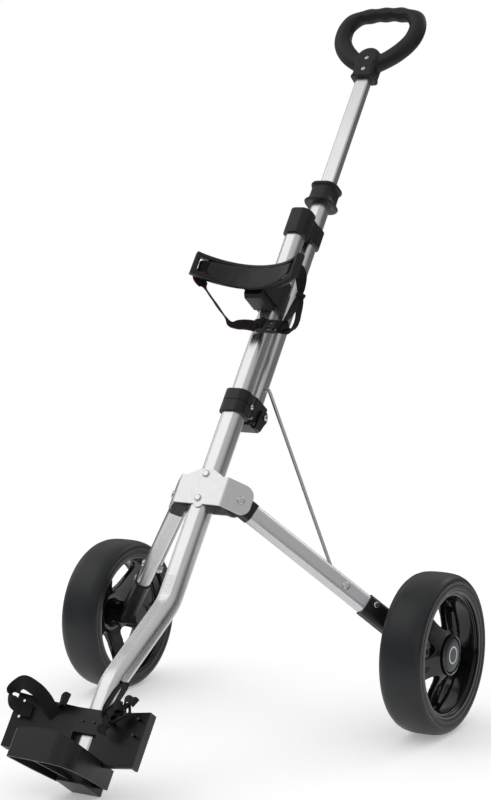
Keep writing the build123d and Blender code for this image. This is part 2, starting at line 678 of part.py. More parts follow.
def handle_screw_pair():
    front = REAR_Y - 17
    return Compound([rod(3.5, (0, front + 5, height), (0, front, height)) for height in (874, 898)])


def handle_screws():
    """Two round-headed screws through the boss."""
    return lean(handle_screw_pair())


# ---- the assembly -------------------------------------------------------------------
single_parts = {
    "main_tube": main_tube,
    "leg_bracket_front": front_plate,
    "leg_bracket_rear": rear_plate,
    "bracket_rivets": bracket_rivets,
    "guide_sleeve": guide_sleeve,
    "foot_saddle": foot_saddle,
    "foot_bracket": foot_bracket,
    "foot_screws": foot_screws,
    "strap_rivets": strap_rivets,
    "foot_strap_left": foot_strap_left,
    "foot_strap_right": foot_strap_right,
    "foot_buckle": foot_buckle,
    "upper_tube": upper_tube,
    "rear_tube": rear_tube,
    "top_collar": top_collar,
    "clamp_body": clamp_body,
    "clamp_bolt": clamp_bolt,
    "lever_pin": lever_pin,
    "cam_lever": cam_lever,
    "spool_collar": spool_collar,
    "cradle_shell": cradle_shell,
    "cradle_pad": cradle_pad,
    "cradle_bracket": cradle_bracket,
    "cradle_screws": cradle_screws,
    "cradle_strap_left": cradle_strap_left,
    "cradle_strap_right": cradle_strap_right,
    "cradle_buckle": cradle_buckle,
    "handle_tube": handle_tube,
    "handle_glide": handle_glide,
    "handle_grip": handle_grip,
    "handle_screws": handle_screws,
}
paired_parts = {
    "leg_pin": leg_pin,
    "leg_knuckle": knuckle,
    "leg_tube": leg_tube,
    "strut_bolt": strut_bolt,
    "axle_socket": axle_socket,
    "socket_screw": socket_screw,
    "axle": axle,
    "tyre": tyre,
    "wheel_centre": wheel_centre,
    "wheel_bush": wheel_bush,
    "hub_cap": hub_cap,
    "strut_rod": strut_rod,
    "strut_nut": strut_nut,
}

os.makedirs("parts", exist_ok=True)
for name, make in single_parts.items():
    export_step(make(), f"parts/{name}.step")
for name, make in paired_parts.items():
    right_hand = make()
    for side, place in sides.items():
        export_step(place(right_hand), f"parts/{name}_{side}.step")
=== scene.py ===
import json
from math import cos, pi, radians, sin, sqrt

import bmesh
import bpy
from mathutils import Matrix, Vector, noise
from mathutils.bvhtree import BVHTree


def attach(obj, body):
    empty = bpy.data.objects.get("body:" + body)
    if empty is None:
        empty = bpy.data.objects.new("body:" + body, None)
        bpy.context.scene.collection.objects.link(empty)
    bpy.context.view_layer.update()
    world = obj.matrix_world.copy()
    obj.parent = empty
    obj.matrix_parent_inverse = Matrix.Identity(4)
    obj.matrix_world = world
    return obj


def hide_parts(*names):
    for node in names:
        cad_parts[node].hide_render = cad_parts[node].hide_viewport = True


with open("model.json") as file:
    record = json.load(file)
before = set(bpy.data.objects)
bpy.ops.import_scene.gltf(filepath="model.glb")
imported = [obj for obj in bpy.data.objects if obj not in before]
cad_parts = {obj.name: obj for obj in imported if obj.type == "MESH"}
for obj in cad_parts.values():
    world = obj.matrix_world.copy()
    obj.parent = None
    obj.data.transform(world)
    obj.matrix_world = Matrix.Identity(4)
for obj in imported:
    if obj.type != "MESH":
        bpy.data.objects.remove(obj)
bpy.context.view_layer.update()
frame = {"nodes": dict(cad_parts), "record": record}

MM = 0.001

# ---- frames of the trolley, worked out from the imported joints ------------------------
joints = {joint["name"]: joint for joint in frame["record"]["behaviour"]["joints"]}
ACROSS = Vector((1, 0, 0))
ALONG = Vector(joints["mast_slide"]["axis"]).normalized()
BACK = Vector((0, ALONG.z, -ALONG.y))
LEVER_BACK, LEVER_UP = 55.0, 178.0
lever_at = Vector(joints["cam_lever_swing"]["pos_m"])
tube_origin = lever_at - BACK * LEVER_BACK * MM - ALONG * LEVER_UP * MM


def placement(origin, x, y, z):
    """Matrix from millimetres in a local frame to the trolley's frame in metres."""
    turn = Matrix((x, y, z)).transposed().to_4x4()
    return Matrix.Translation(origin) @ turn @ Matrix.Scale(MM, 4)


TUBE = placement(tube_origin, ACROSS, BACK, ALONG)

fold_axis = Vector(joints["leg_fold_right"]["axis"]).normalized()
OUTWARD = -fold_axis
pivot = Vector(joints["leg_fold_right"]["pos_m"])
hub = Vector(joints["wheel_spin_right"]["pos_m"])
LEG_FRONT, LEG_REAR = -3.0, -27.0
leg_root = pivot + OUTWARD * (LEG_FRONT + LEG_REAR) / 2 * MM
axle_x = leg_root.x - (OUTWARD.y * (hub.y - leg_root.y) + OUTWARD.z * (hub.z - leg_root.z)) / OUTWARD.x
leg_end = Vector((axle_x, hub.y, hub.z))
LEG_DIR = (leg_end - leg_root).normalized()
LEG_WIDE = OUTWARD.cross(LEG_DIR)
WHEEL = placement(hub, Vector((0, 1, 0)), Vector((0, 0, 1)), ACROSS)
REAR_Y = 42.0               # rear and handle tubes' axis, behind the main tube's


# ---- materials -----------------------------------------------------------------------
class Nodes:
    """A material's node tree, built with short calls."""

    def __init__(self, name):
        self.material = bpy.data.materials.new(name)
        self.material.use_nodes = True
        self.tree = self.material.node_tree
        self.shader = self.tree.nodes["Principled BSDF"]

    def add(self, kind, **settings):
        node = self.tree.nodes.new(kind)
        for key, value in settings.items():
            setattr(node, key, value)
        return node

    def link(self, source, target):
        self.tree.links.new(source, target)

    def put(self, name, value):
        self.shader.inputs[name].default_value = value

    def place(self, scale, turn=None):
        """Object coordinates, turned into a part's own frame and scaled."""
        coordinates = self.add("ShaderNodeTexCoord").outputs["Object"]
        if turn is not None:
            turning = self.add("ShaderNodeMapping")
            turning.inputs["Rotation"].default_value = turn
            self.link(coordinates, turning.inputs["Vector"])
            coordinates = turning.outputs["Vector"]
        scaling = self.add("ShaderNodeMapping")
        scaling.inputs["Scale"].default_value = scale
        self.link(coordinates, scaling.inputs["Vector"])
        return scaling.outputs["Vector"]

    def noise(self, vector, detail=3.0, rough=0.55):
        node = self.add("ShaderNodeTexNoise")
        node.inputs["Scale"].default_value = 1.0
        node.inputs["Detail"].default_value = detail
        node.inputs["Roughness"].default_value = rough
        self.link(vector, node.inputs["Vector"])
        return node.outputs["Fac"]

    def spread(self, value, low, high, start=0.3, end=0.7):
        """A texture's value, stretched between two numbers."""
        node = self.add("ShaderNodeMapRange")
        node.inputs["From Min"].default_value = start
        node.inputs["From Max"].default_value = end
        node.inputs["To Min"].default_value = low
        node.inputs["To Max"].default_value = high
        self.link(value, node.inputs["Value"])
        return node.outputs["Result"]

    def colours(self, value, first, second, start=0.3, end=0.7):
        node = self.add("ShaderNodeValToRGB")
        ramp = node.color_ramp
        ramp.elements[0].position = start
        ramp.elements[0].color = (*first, 1)
        ramp.elements[1].position = end
        ramp.elements[1].color = (*second, 1)
        self.link(value, node.inputs["Fac"])
        return node.outputs["Color"]

    def bump(self, height, strength, distance):
        node = self.add("ShaderNodeBump")
        node.inputs["Strength"].default_value = strength
        node.inputs["Distance"].default_value = distance
        self.link(height, node.inputs["Height"])
        return node.outputs["Normal"]

    def into(self, value, name):
        self.link(value, self.shader.inputs[name])


def turn_of(x, y, z):
    """Rotation that carries the trolley's axes to a part's own."""
    return Matrix((x, y, z)).to_euler("XYZ")


TUBE_LIGHT, TUBE_ROUGH = 0.60, 0.27


def drawn_metal(name, turn):
    """Satin aluminium tube: fine lines run along it."""
    n = Nodes(name)
    n.put("Metallic", 1.0)
    lines = n.noise(n.place((1500, 1500, 12), turn), detail=2)
    patches = n.noise(n.place((30, 30, 12), turn), detail=2)
    dull, clear = (TUBE_LIGHT * 0.95,) * 3, (TUBE_LIGHT, TUBE_LIGHT, TUBE_LIGHT * 1.01)
    n.into(n.colours(patches, dull, clear), "Base Color")
    n.into(n.spread(lines, TUBE_ROUGH - 0.05, TUBE_ROUGH + 0.07), "Roughness")
    n.into(n.bump(lines, 0.10, 0.0001), "Normal")
    return n.material


def bright_metal(name, light=0.75, rough=0.22, scale=900):
    """Plated or rolled metal with faint scuffs."""
    n = Nodes(name)
    n.put("Metallic", 1.0)
    scuffs = n.noise(n.place((scale, scale, scale * 0.4)), detail=4)
    n.into(n.colours(scuffs, (light * 0.92,) * 3, (light,) * 3), "Base Color")
    n.into(n.spread(scuffs, rough - 0.05, rough + 0.09), "Roughness")
    n.into(n.bump(scuffs, 0.05, 0.00005), "Normal")
    return n.material


def moulded(name, shade, rough, grain, depth, gloss=0.32):
    """Moulded plastic or rubber: a fine grain and slow changes of sheen."""
    n = Nodes(name)
    fine = n.noise(n.place((grain,) * 3), detail=3, rough=0.6)
    broad = n.noise(n.place((22,) * 3), detail=3)
    # Both colours carry a blue cast, a painted reflection tint standing in for bluish highlights; the noise
    # between darker and paler is random tone.
    dark = (shade * 0.72, shade * 0.80, shade * 0.90)
    pale = (shade * 1.16, shade * 1.24, shade * 1.36)
    n.into(n.colours(broad, dark, pale), "Base Color")
    n.into(n.spread(broad, rough - 0.05, rough + 0.07), "Roughness")
    n.put("Specular IOR Level", gloss)
    n.into(n.bump(fine, 0.35, depth), "Normal")
    return n.material


def woven(name, edge=None):
    """Webbing: ribs across it and a twill along it, from the band's own coordinates."""
    n = Nodes(name)
    band = n.add("ShaderNodeAttribute", attribute_name="weave").outputs["Vector"]
    parts = n.add("ShaderNodeSeparateXYZ")
    n.link(band, parts.inputs["Vector"])
    twill = n.add("ShaderNodeTexWave", bands_direction="DIAGONAL")
    twill.inputs["Scale"].default_value = 260
    twill.inputs["Distortion"].default_value = 0.6
    n.link(band, twill.inputs["Vector"])
    ribs = n.add("ShaderNodeTexWave", bands_direction="X")
    ribs.inputs["Scale"].default_value = 420
    n.link(band, ribs.inputs["Vector"])
    both = n.add("ShaderNodeMath", operation="ADD")
    n.link(twill.outputs["Fac"], both.inputs[0])
    n.link(ribs.outputs["Fac"], both.inputs[1])
    colour = n.colours(both.outputs["Value"], (0.003, 0.003, 0.0035), (0.015, 0.015, 0.017), 0.2, 1.0)
    if edge is not None:
        away = n.add("ShaderNodeMath", operation="ABSOLUTE")
        n.link(parts.outputs["Y"], away.inputs[0])
        rim = n.spread(away.outputs["Value"], 0.0, 1.0, EDGE_BAND - 0.0003, EDGE_BAND)
        mix = n.add("ShaderNodeMix", data_type="RGBA")
        n.link(rim, mix.inputs["Factor"])
        n.link(colour, mix.inputs["A"])
        mix.inputs["B"].default_value = (*edge, 1)
        colour = mix.outputs["Result"]
    n.into(colour, "Base Color")
    n.put("Roughness", 0.85)
    n.put("Specular IOR Level", 0.2)
    n.put("Sheen Weight", 0.04)
    n.put("Sheen Roughness", 0.4)
    n.into(n.bump(both.outputs["Value"], 0.6, 0.0003), "Normal")
    return n.material


STRAP_WIDTH = 20.0
EDGE_BAND = (STRAP_WIDTH / 2 - 1.6) * MM

tube_turn = turn_of(ACROSS, BACK, ALONG)
tube_metal = drawn_metal("tube_aluminium", tube_turn)
left_leg_axes = [Vector((-v.x, v.y, v.z)) for v in (LEG_WIDE, OUTWARD, LEG_DIR)]
leg_metals = {
    "right": drawn_metal("leg_aluminium_right", turn_of(LEG_WIDE, OUTWARD, LEG_DIR)),
    "left": drawn_metal("leg_aluminium_left", turn_of(*left_leg_axes)),
}
plate_metal = bright_metal("bracket_plate", 0.66, 0.36, 260)
screw_metal = bright_metal("fastener_steel", 0.60, 0.20)
rod_metal = bright_metal("strut_steel", 0.46, 0.22)
blackened = bright_metal("blackened_screw", 0.05, 0.35)
black_plastic = moulded("black_plastic", 0.0085, 0.36, 1600, 0.00018)
gloss_plastic = moulded("wheel_plastic", 0.004, 0.15, 300, 0.00002, gloss=0.5)
cap_plastic = moulded("hub_cap_plastic", 0.014, 0.34, 1400, 0.0001)
tyre_rubber = moulded("tyre_rubber", 0.0135, 0.42, 1900, 0.00010, gloss=0.36)
grip_rubber = moulded("grip_rubber", 0.0085, 0.46, 1300, 0.0003)
pad_rubber = moulded("pad_rubber", 0.006, 0.38, 900, 0.0002)
nylon = moulded("bush_plastic", 0.45, 0.40, 800, 0.0001)
webbing = woven("webbing")
red_webbing = woven("webbing_red_edge", (0.10, 0.010, 0.014))
pale_mark = moulded("pale_mark", 0.55, 0.35, 900, 0.00002)


# ---- mesh building -------------------------------------------------------------------
def new_object(name, verts, faces, place=None):
    mesh = bpy.data.meshes.new(name)
    if place is not None:
        verts = [place @ Vector(v) for v in verts]
    mesh.from_pydata([tuple(v) for v in verts], [], faces)
    mesh.update()
    thing = bpy.data.objects.new(name, mesh)
    bpy.context.scene.collection.objects.link(thing)
    return thing


def apply_all(thing):
    """Replace the mesh by what its modifiers make of it."""
    bpy.context.view_layer.update()
    graph = bpy.context.evaluated_depsgraph_get()
    made = bpy.data.meshes.new_from_object(thing.evaluated_get(graph))
    thing.modifiers.clear()
    thing.data = made
    return thing


def tidy_normals(thing):
    work = bmesh.new()
    work.from_mesh(thing.data)
    bmesh.ops.remove_doubles(work, verts=work.verts, dist=1e-6)
    bmesh.ops.recalc_face_normals(work, faces=work.faces)
    work.to_mesh(thing.data)
    work.free()


def shade(thing, angle=40):
    """Smooth shading, with edges sharper than the angle kept crisp."""
    mesh = thing.data
    mesh.polygons.foreach_set("use_smooth", [True] * len(mesh.polygons))
    work = bmesh.new()
    work.from_mesh(mesh)
    limit = radians(angle)
    for edge in work.edges:
        edge.smooth = len(edge.link_faces) == 2 and edge.calc_face_angle(0) < limit
    work.to_mesh(mesh)
    work.free()


def dress(thing, body, material, slot, *nodes):
    """Give a piece its material and body, and hide the CAD nodes that it stands for."""
    thing.data.materials.clear()
    thing.data.materials.append(material)
    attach(thing, body)
    if nodes:
        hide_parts(*nodes)
    return thing


def mirrored(thing, name):
    """A copy of a piece on the other side of the trolley."""
    mesh = thing.data.copy()
    mesh.transform(Matrix.Scale(-1, 4, ACROSS))
    mesh.flip_normals()
    copy = bpy.data.objects.new(name, mesh)
    bpy.context.scene.collection.objects.link(copy)
    return copy


def joined(name, things):
    """One object from several."""
    work = bmesh.new()
    for thing in things:
        work.from_mesh(thing.data)
        bpy.data.objects.remove(thing)
    mesh = bpy.data.meshes.new(name)
    work.to_mesh(mesh)
    work.free()
    whole = bpy.data.objects.new(name, mesh)
    bpy.context.scene.collection.objects.link(whole)
    return whole


def fused(name, things, voxel=1.2, rounds=6):
    """Closed shapes melted into one moulding with soft inner corners."""
    whole = joined(name, things)
    remesh = whole.modifiers.new("remesh", "REMESH")
    remesh.mode = "VOXEL"
    remesh.voxel_size = voxel * MM
    smooth = whole.modifiers.new("smooth", "SMOOTH")
    smooth.factor = 0.5
    smooth.iterations = rounds
    apply_all(whole)
    shade(whole, 60)
    return whole


def cut(thing, cutters):
    """Take the cutters' shapes out of a closed shape."""
    for cutter in cutters:
        boolean = thing.modifiers.new("cut", "BOOLEAN")
        boolean.object = cutter
        boolean.operation = "DIFFERENCE"
        boolean.solver = "EXACT"
    apply_all(thing)
    for cutter in cutters:
        bpy.data.objects.remove(cutter)
    return thing


def clean_copy(name, node, flatten=False):
    """A CAD node's shape, welded, with its flats joined up if asked."""
    thing = bpy.data.objects.new(name, frame["nodes"][node].data.copy())
    bpy.context.scene.collection.objects.link(thing)
    work = bmesh.new()
    work.from_mesh(thing.data)
    bmesh.ops.remove_doubles(work, verts=work.verts, dist=2e-6)
    if flatten:
        bmesh.ops.dissolve_limit(work, angle_limit=radians(0.5), verts=work.verts, edges=work.edges)
    work.to_mesh(thing.data)
    work.free()
    return thing


BEVEL_ABOVE = radians(32)     # edges sharper than this are rounded


def rounded_copy(name, node, width):
    """A CAD node's shape with its sharp edges rounded."""
    thing = clean_copy(name, node, flatten=True)
    bevel = thing.modifiers.new("bevel", "BEVEL")
    bevel.width = width * MM
    bevel.segments = 2
    bevel.limit_method = "ANGLE"
    bevel.angle_limit = BEVEL_ABOVE
    apply_all(thing)
    shade(thing, 35)
    weigh = thing.modifiers.new("weigh", "WEIGHTED_NORMAL")
    weigh.keep_sharp = True
    weigh.weight = 90
    return apply_all(thing)


def lathe(name, profile, place, steps=96, closed=True):
    """Turned shape: a profile of radius and height about the local z axis."""
    verts = []
    for step in range(steps):
        turn = 2 * pi * step / steps
        verts += [(radius * cos(turn), radius * sin(turn), height) for radius, height in profile]
    count = len(profile)
    last = count if closed else count - 1
    faces = []
    for step in range(steps):
        here, there = step * count, (step + 1) % steps * count
        for k in range(last):
            nxt = (k + 1) % count
            faces.append((here + k, there + k, there + nxt, here + nxt))
    thing = new_object(name, verts, faces, place)
    tidy_normals(thing)
    return thing


CORNER_STEPS = 7


def rounded_ring(half_x, half_y, corner, height, y=0.0, x=0.0):
    """Points round a rounded rectangle at one height."""
    corner = min(corner, half_x - 0.01, half_y - 0.01)
    ring = []
    for quarter, (sx, sy) in enumerate(((1, 1), (-1, 1), (-1, -1), (1, -1))):
        for step in range(CORNER_STEPS + 1):
            turn = (quarter + step / CORNER_STEPS) * pi / 2
            px = x + sx * (half_x - corner) + corner * cos(turn)
            py = y + sy * (half_y - corner) + corner * sin(turn)
            ring.append((px, py, height))
    return ring


def loft(name, rings, place, closed=False):
    """Skin through rings of equal length, with flat ends unless it closes on itself."""
    count = len(rings[0])
    verts = [point for ring in rings for point in ring]
    faces = []
    spans = len(rings) if closed else len(rings) - 1
    for row in range(spans):
        here, there = row * count, (row + 1) % len(rings) * count
        for k in range(count):
            nxt = (k + 1) % count
            faces.append((here + k, here + nxt, there + nxt, there + k))
    if not closed:
        faces.append(tuple(range(count)))
        top = (len(rings) - 1) * count
        faces.append(tuple(top + k for k in range(count)))
    thing = new_object(name, verts, faces, place)
    tidy_normals(thing)
    return thing


def block(name, low, high, place, corner=2.0, soft=1.5):
    """Box with rounded upright edges and softened ends."""
    half_x, half_y = (high[0] - low[0]) / 2, (high[1] - low[1]) / 2
    x, y = (high[0] + low[0]) / 2, (high[1] + low[1]) / 2
    rings = []
    for inset, height in ((soft, low[2]), (0.3 * soft, low[2] + 0.3 * soft), (0, low[2] + soft),
                          (0, high[2] - soft), (0.3 * soft, high[2] - 0.3 * soft), (soft, high[2])):
        rings.append(rounded_ring(half_x - inset, half_y - inset, corner, height, y, x))
    return loft(name, rings, place)


def prism(name, outline, low, high, place):
    """Straight prism on a closed outline in the local x, y plane."""
    return loft(name, [[(x, y, low) for x, y in outline], [(x, y, high) for x, y in outline]], place)


def curve_through(points, per_span=8, closed=False):
    """Smooth Catmull-Rom line through points of any number of coordinates."""
    count = len(points)
    spans = count if closed else count - 1
    line = []

    def pick(index):
        return points[index % count] if closed else points[min(max(index, 0), count - 1)]

    for span in range(spans):
        a, b, c, d = (pick(span + shift) for shift in (-1, 0, 1, 2))
        for step in range(per_span):
            t = step / per_span
            line.append(tuple(
                0.5 * (2 * q + (r - p) * t
                       + (2 * p - 5 * q + 4 * r - s) * t * t + (3 * q - p - 3 * r + s) * t ** 3)
                for p, q, r, s in zip(a, b, c, d)
            ))
    if not closed:
        line.append(tuple(points[-1]))
    return line


STRAP_THICK, STRAP_RIPPLE = 1.6, 0.25


def ribbon(name, stations, place, width=STRAP_WIDTH, per_span=10):
    """Webbing through stations of (point, direction across it[, width]), with weave coordinates."""
    rows = []
    for station in stations:
        own = station[2] if len(station) > 2 else width
        rows.append((*station[0], *Vector(station[1]).normalized(), own))
    line = curve_through(rows, per_span)
    centres = [Vector(row[:3]) for row in line]
    across = [Vector(row[3:6]) for row in line]
    widths = [row[6] for row in line]
    section = [(-0.5, -0.5), (-0.25, -0.5), (0, -0.5), (0.25, -0.5), (0.5, -0.5),
               (0.5, 0.5), (0.25, 0.5), (0, 0.5), (-0.25, 0.5), (-0.5, 0.5)]
    rings, weave = [], []
    run = 0.0
    for index, centre in enumerate(centres):
        before, after = centres[max(index - 1, 0)], centres[min(index + 1, len(centres) - 1)]
        tangent = (after - before).normalized()
        side = (across[index] - tangent * across[index].dot(tangent)).normalized()
        normal = tangent.cross(side)
        if index:
            run += (centre - before).length
        wave = STRAP_RIPPLE * sin(run / 6.0) + STRAP_RIPPLE * 0.6 * sin(run / 2.7 + 1)
        ring = []
        for u, v in section:
            lift = v * STRAP_THICK + wave * (1 - abs(u)) + 0.5 * STRAP_RIPPLE * sin(run / 4 + u * 5)
            ring.append(centre + side * u * widths[index] + normal * lift)
            weave.append((run * MM, u * width * MM, 0))
        rings.append([tuple(p) for p in ring])
    count = len(section)
    verts = [p for ring in rings for p in ring]
    faces = []
    for row in range(len(rings) - 1):
        for k in range(count):
            nxt = (k + 1) % count
            faces.append((row * count + k, row * count + nxt, (row + 1) * count + nxt,
                          (row + 1) * count + k))
    faces.append(tuple(range(count)))
    faces.append(tuple((len(rings) - 1) * count + k for k in range(count)))
    thing = new_object(name, verts, faces, place)
    attribute = thing.data.attributes.new("weave", "FLOAT_VECTOR", "POINT")
    attribute.data.foreach_set("vector", [c for row in weave for c in row])
    work = bmesh.new()
    work.from_mesh(thing.data)
    bmesh.ops.recalc_face_normals(work, faces=work.faces)
    work.to_mesh(thing.data)
    work.free()
    shade(thing, 50)
    return thing


def screw_head(name, radius, height, place, at, normal, recess=True):
    """Round screw or rivet head with a soft rim and, on screws, a hex recess."""
    normal = Vector(normal).normalized()
    side = normal.orthogonal().normalized()
    frame_here = placement(place @ Vector(at), *[
        (place.to_3x3() @ v).normalized() for v in (side, normal.cross(side), normal)
    ])
    profile = [(0.0, -1.0), (radius * 0.9, -1.0), (radius, 0.0), (radius, height * 0.25),
               (radius * 0.93, height * 0.6), (radius * 0.72, height * 0.88), (radius * 0.45, height)]
    if recess:
        profile += [(radius * 0.40, height * 0.5), (0.0, height * 0.45)]
    else:
        profile += [(radius * 0.2, height * 1.04), (0.0, height * 1.05)]
    thing = lathe(name, profile, frame_here, steps=28, closed=False)
    shade(thing, 45)
    return thing


# ---- CAD shapes that are kept, with their materials ------------------------------------
def give(material, *nodes):
    for node in nodes:
        data = frame["nodes"][node].data
        data.materials.clear()
        data.materials.append(material)


give(tube_metal, "upper_tube", "rear_tube", "handle_tube")
give(nylon, "guide_sleeve", "handle_glide", "wheel_bush_left", "wheel_bush_right")
for side in ("left", "right"):
    give(leg_metals[side], f"leg_tube_{side}")
    give(screw_metal, f"axle_{side}", f"strut_nut_{side}", f"leg_pin_{side}", f"strut_bolt_{side}",
         f"socket_screw_{side}")
give(screw_metal, "clamp_bolt", "lever_pin", "bracket_rivets", "cradle_screws", "handle_screws")
give(blackened, "foot_screws")

# ---- main tube -----------------------------------------------------------------------
main_tree = BVHTree.FromPolygons(
    [TUBE.inverted() @ v.co for v in frame["nodes"]["main_tube"].data.vertices],
    [tuple(face.vertices) for face in frame["nodes"]["main_tube"].data.polygons],
)


def on_tube(x, s):
    """The main tube's front surface and its normal, in the tube's frame."""
    where, normal, _, _ = main_tree.ray_cast(Vector((x, -200, s)), Vector((0, 1, 0)))
    return where, (normal if normal.y < 0 else -normal)


def groove_cutter(top=-184.0, bottom=-270.0, radius=6.5, deep=1.35, steps=24):
    """Long lozenge that presses a channel into the bend's front."""
    rings = []
    for step in range(steps + 1):
        t = step / steps
        where, normal = on_tube(5.0, top + (bottom - top) * t)
        where.x = normal.x = 0.0
        normal.normalize()
        sink = deep - (deep + 0.4) * abs(2 * t - 1) ** 5
        centre = where + normal * (radius - sink)
        rings.append([tuple(centre + (Vector((cos(a), 0, 0)) + normal * sin(a)) * radius)
                      for a in (2 * pi * k / 48 for k in range(48))])
    return loft("groove", rings, TUBE)


def pit_cutters():
    """Two grids of small pits, above and below the channel."""
    pits = bmesh.new()
    for top, rows in ((-146, 11), (-282, 7)):
        for row in range(rows):
            for column in range(6):
                where, normal = on_tube(-6.0 + 2.4 * column, top - 3.0 * row)
                spot = TUBE @ (where + normal * 0.2)
                bmesh.ops.create_icosphere(pits, subdivisions=1, radius=0.85 * MM,
                                           matrix=Matrix.Translation(spot))
    mesh = bpy.data.meshes.new("pits")
    pits.to_mesh(mesh)
    pits.free()
    thing = bpy.data.objects.new("pits", mesh)
    bpy.context.scene.collection.objects.link(thing)
    return thing


main_shape = cut(clean_copy("main_tube_shape", "main_tube"), [groove_cutter(), pit_cutters()])
shade(main_shape, 28)
dress(main_shape, "frame", tube_metal, "tube_aluminium", "main_tube")

# ---- CAD shapes with their edges rounded: body, material, slot, width in mm ------------
softened = {
    "leg_bracket_front": ("frame", plate_metal, "bracket_plate", 0.5),
    "leg_bracket_rear": ("frame", plate_metal, "bracket_plate", 0.5),
    "foot_saddle": ("frame", black_plastic, "black_plastic", 0.8),
    "foot_bracket": ("frame", black_plastic, "black_plastic", 0.8),
    "cam_lever": ("cam_lever", black_plastic, "black_plastic", 1.2),
    "clamp_body": ("mast", black_plastic, "black_plastic", 0.6),
    "cradle_bracket": ("mast", black_plastic, "black_plastic", 1.0),
    "top_collar": ("mast", black_plastic, "black_plastic", 1.0),
}
for side in ("left", "right"):
    softened[f"leg_knuckle_{side}"] = (f"leg_{side}", black_plastic, "black_plastic", 1.0)
    softened[f"axle_socket_{side}"] = (f"leg_{side}", black_plastic, "black_plastic", 1.2)
for node, (body, material, slot, width) in softened.items():
    dress(rounded_copy(f"{node}_shape", node, width), body, material, slot, node)


# ---- wheels --------------------------------------------------------------------------
TYRE_HALF = 36.0
WHEEL_R = 130.0
RIM_R = 104.0
SPOKES = 5
WINDOW_TURN, POCKET_TURN = radians(15), radians(51)


def tyre_shape():
    """Smooth crowned tyre with round shoulders and a bead lip each side."""
    half = [(WHEEL_R, 0), (WHEEL_R - 0.15, 10), (WHEEL_R - 0.7, 18), (WHEEL_R - 1.9, 24.5),
            (WHEEL_R - 4.2, 30), (WHEEL_R - 7.4, 34), (WHEEL_R - 11, 35.8), (WHEEL_R - 14, TYRE_HALF),
            (WHEEL_R - 16, 35.5), (WHEEL_R - 17, 34.4), (WHEEL_R - 18.4, 34.4), (WHEEL_R - 19.4, 35.2),
            (WHEEL_R - 22, 35.4), (RIM_R + 1.5, 35.2), (RIM_R - 0.6, 34.2), (RIM_R - 1.2, 32.5),
            (RIM_R - 1.2, 0)]
    other = [(radius, -height) for radius, height in reversed(half[1:-1])]
    return lathe("tyre_right_shape", half + other, WHEEL, steps=128)


def barrel_shape():
    """Rim barrel with a stepped, rolled lip at each edge."""
    outer = [(RIM_R, -33), (RIM_R, 33)]
    lip = [(102.6, 34.2), (99.5, 34.0), (98.2, 32.8), (98.2, 29.6), (97.4, 28.6), (94.6, 28.4),
           (93.6, 27.4), (93.6, 24.6), (95.2, 23.2)]
    inner = [(95.6, 8), (96.4, -8), (97.6, -24), (97.2, -28), (98.6, -30.6), (99.5, -33.4), (102.4, -34)]
    barrel = lathe("barrel", outer + lip + inner, WHEEL, steps=128)
    return barrel


def turned(points, turn):
    """Points turned about the wheel's axis."""
    return [(x * cos(turn) - y * sin(turn), x * sin(turn) + y * cos(turn)) for x, y in points]


def window(turn):
    """One opening between two spokes: narrow at the hub and round at its corners."""
    corners = [(44, -9), (60, -21), (78, -34), (89, -25), (92.5, 0), (89, 25), (78, 34), (60, 21), (44, 9),
               (40, 0)]
    outline = curve_through(corners, 6, closed=True)
    return prism("window", turned(outline, turn), -40, 60, WHEEL)


def dish_at(radius):
    """Height of the web's outer face."""
    return 25.5 - 26.5 * ((radius - 36) / 61) ** 0.75


def pocket(turn):
    """Shallow recess along a spoke."""
    corners = [(48, 0), (60, -5), (76, -8), (90, -13), (93, 0), (90, 13), (76, 8), (60, 5)]
    rotated = turned(curve_through(corners, 6, closed=True), turn)
    rings = []
    for slide in range(2):
        rings.append([(x, y, 60.0 if slide else dish_at(sqrt(x * x + y * y)) - 4.5) for x, y in rotated])
    return loft("pocket", rings, WHEEL)


def web_shape():
    """Deep-dished web with windows between its spokes."""
    profile = [(24, 29), (32, 29), (36, 25.5), (44, 19.5), (54, 13.5), (66, 8), (80, 3), (96.8, -1),
               (97.2, -4), (97.2, -12), (82, -8), (66, -2), (52, 4), (42, 9), (32, 13), (24, 13)]
    web = lathe("web", profile, WHEEL, steps=96)
    spacing = 2 * pi / SPOKES
    cutters = [window(spacing * index + WINDOW_TURN) for index in range(SPOKES)]
    cutters += [pocket(spacing * index + POCKET_TURN) for index in range(SPOKES)]
    cut(web, cutters)
    return fused("web", [web], voxel=1.3, rounds=5)


def hub_shape():
    """Hub tube and the raised ring that the cap sits in."""
    ring = [(9.2, -11), (21, -11), (21.5, -9), (23, 16), (32, 18), (33.5, 30), (32.5, 33.2), (30.2, 33.8),
            (29.2, 32.6), (28.6, 29.5), (9.2, 29.5)]
    return lathe("hub", ring, WHEEL, steps=72)


def cap_shape():
    profile = [(0, 34.9), (12, 34.8), (20, 34.4), (24.5, 33.6), (27.2, 32.4), (28.2, 30.6), (28.2, 28.0),
               (0, 28.0)]
    return lathe("hub_cap_right_shape", profile, WHEEL, steps=72, closed=False)


def ring_mark():
    """Plain pale ring let into the cap."""
    profile = [(11.5, 34.6), (11.7, 35.1), (14.3, 35.0), (14.5, 34.5)]
    return lathe("hub_cap_ring_right", profile, WHEEL, steps=72)


def both_wheels(make, piece, material, slot, node, angle=35):
    right = make()
    shade(right, angle)
    left = mirrored(right, piece.replace("right", "left"))
    right.name = piece
    for thing, side in ((right, "right"), (left, "left")):
        nodes = [f"{node}_{side}"] if node else []
        dress(thing, f"wheel_{side}", material, slot, *nodes)


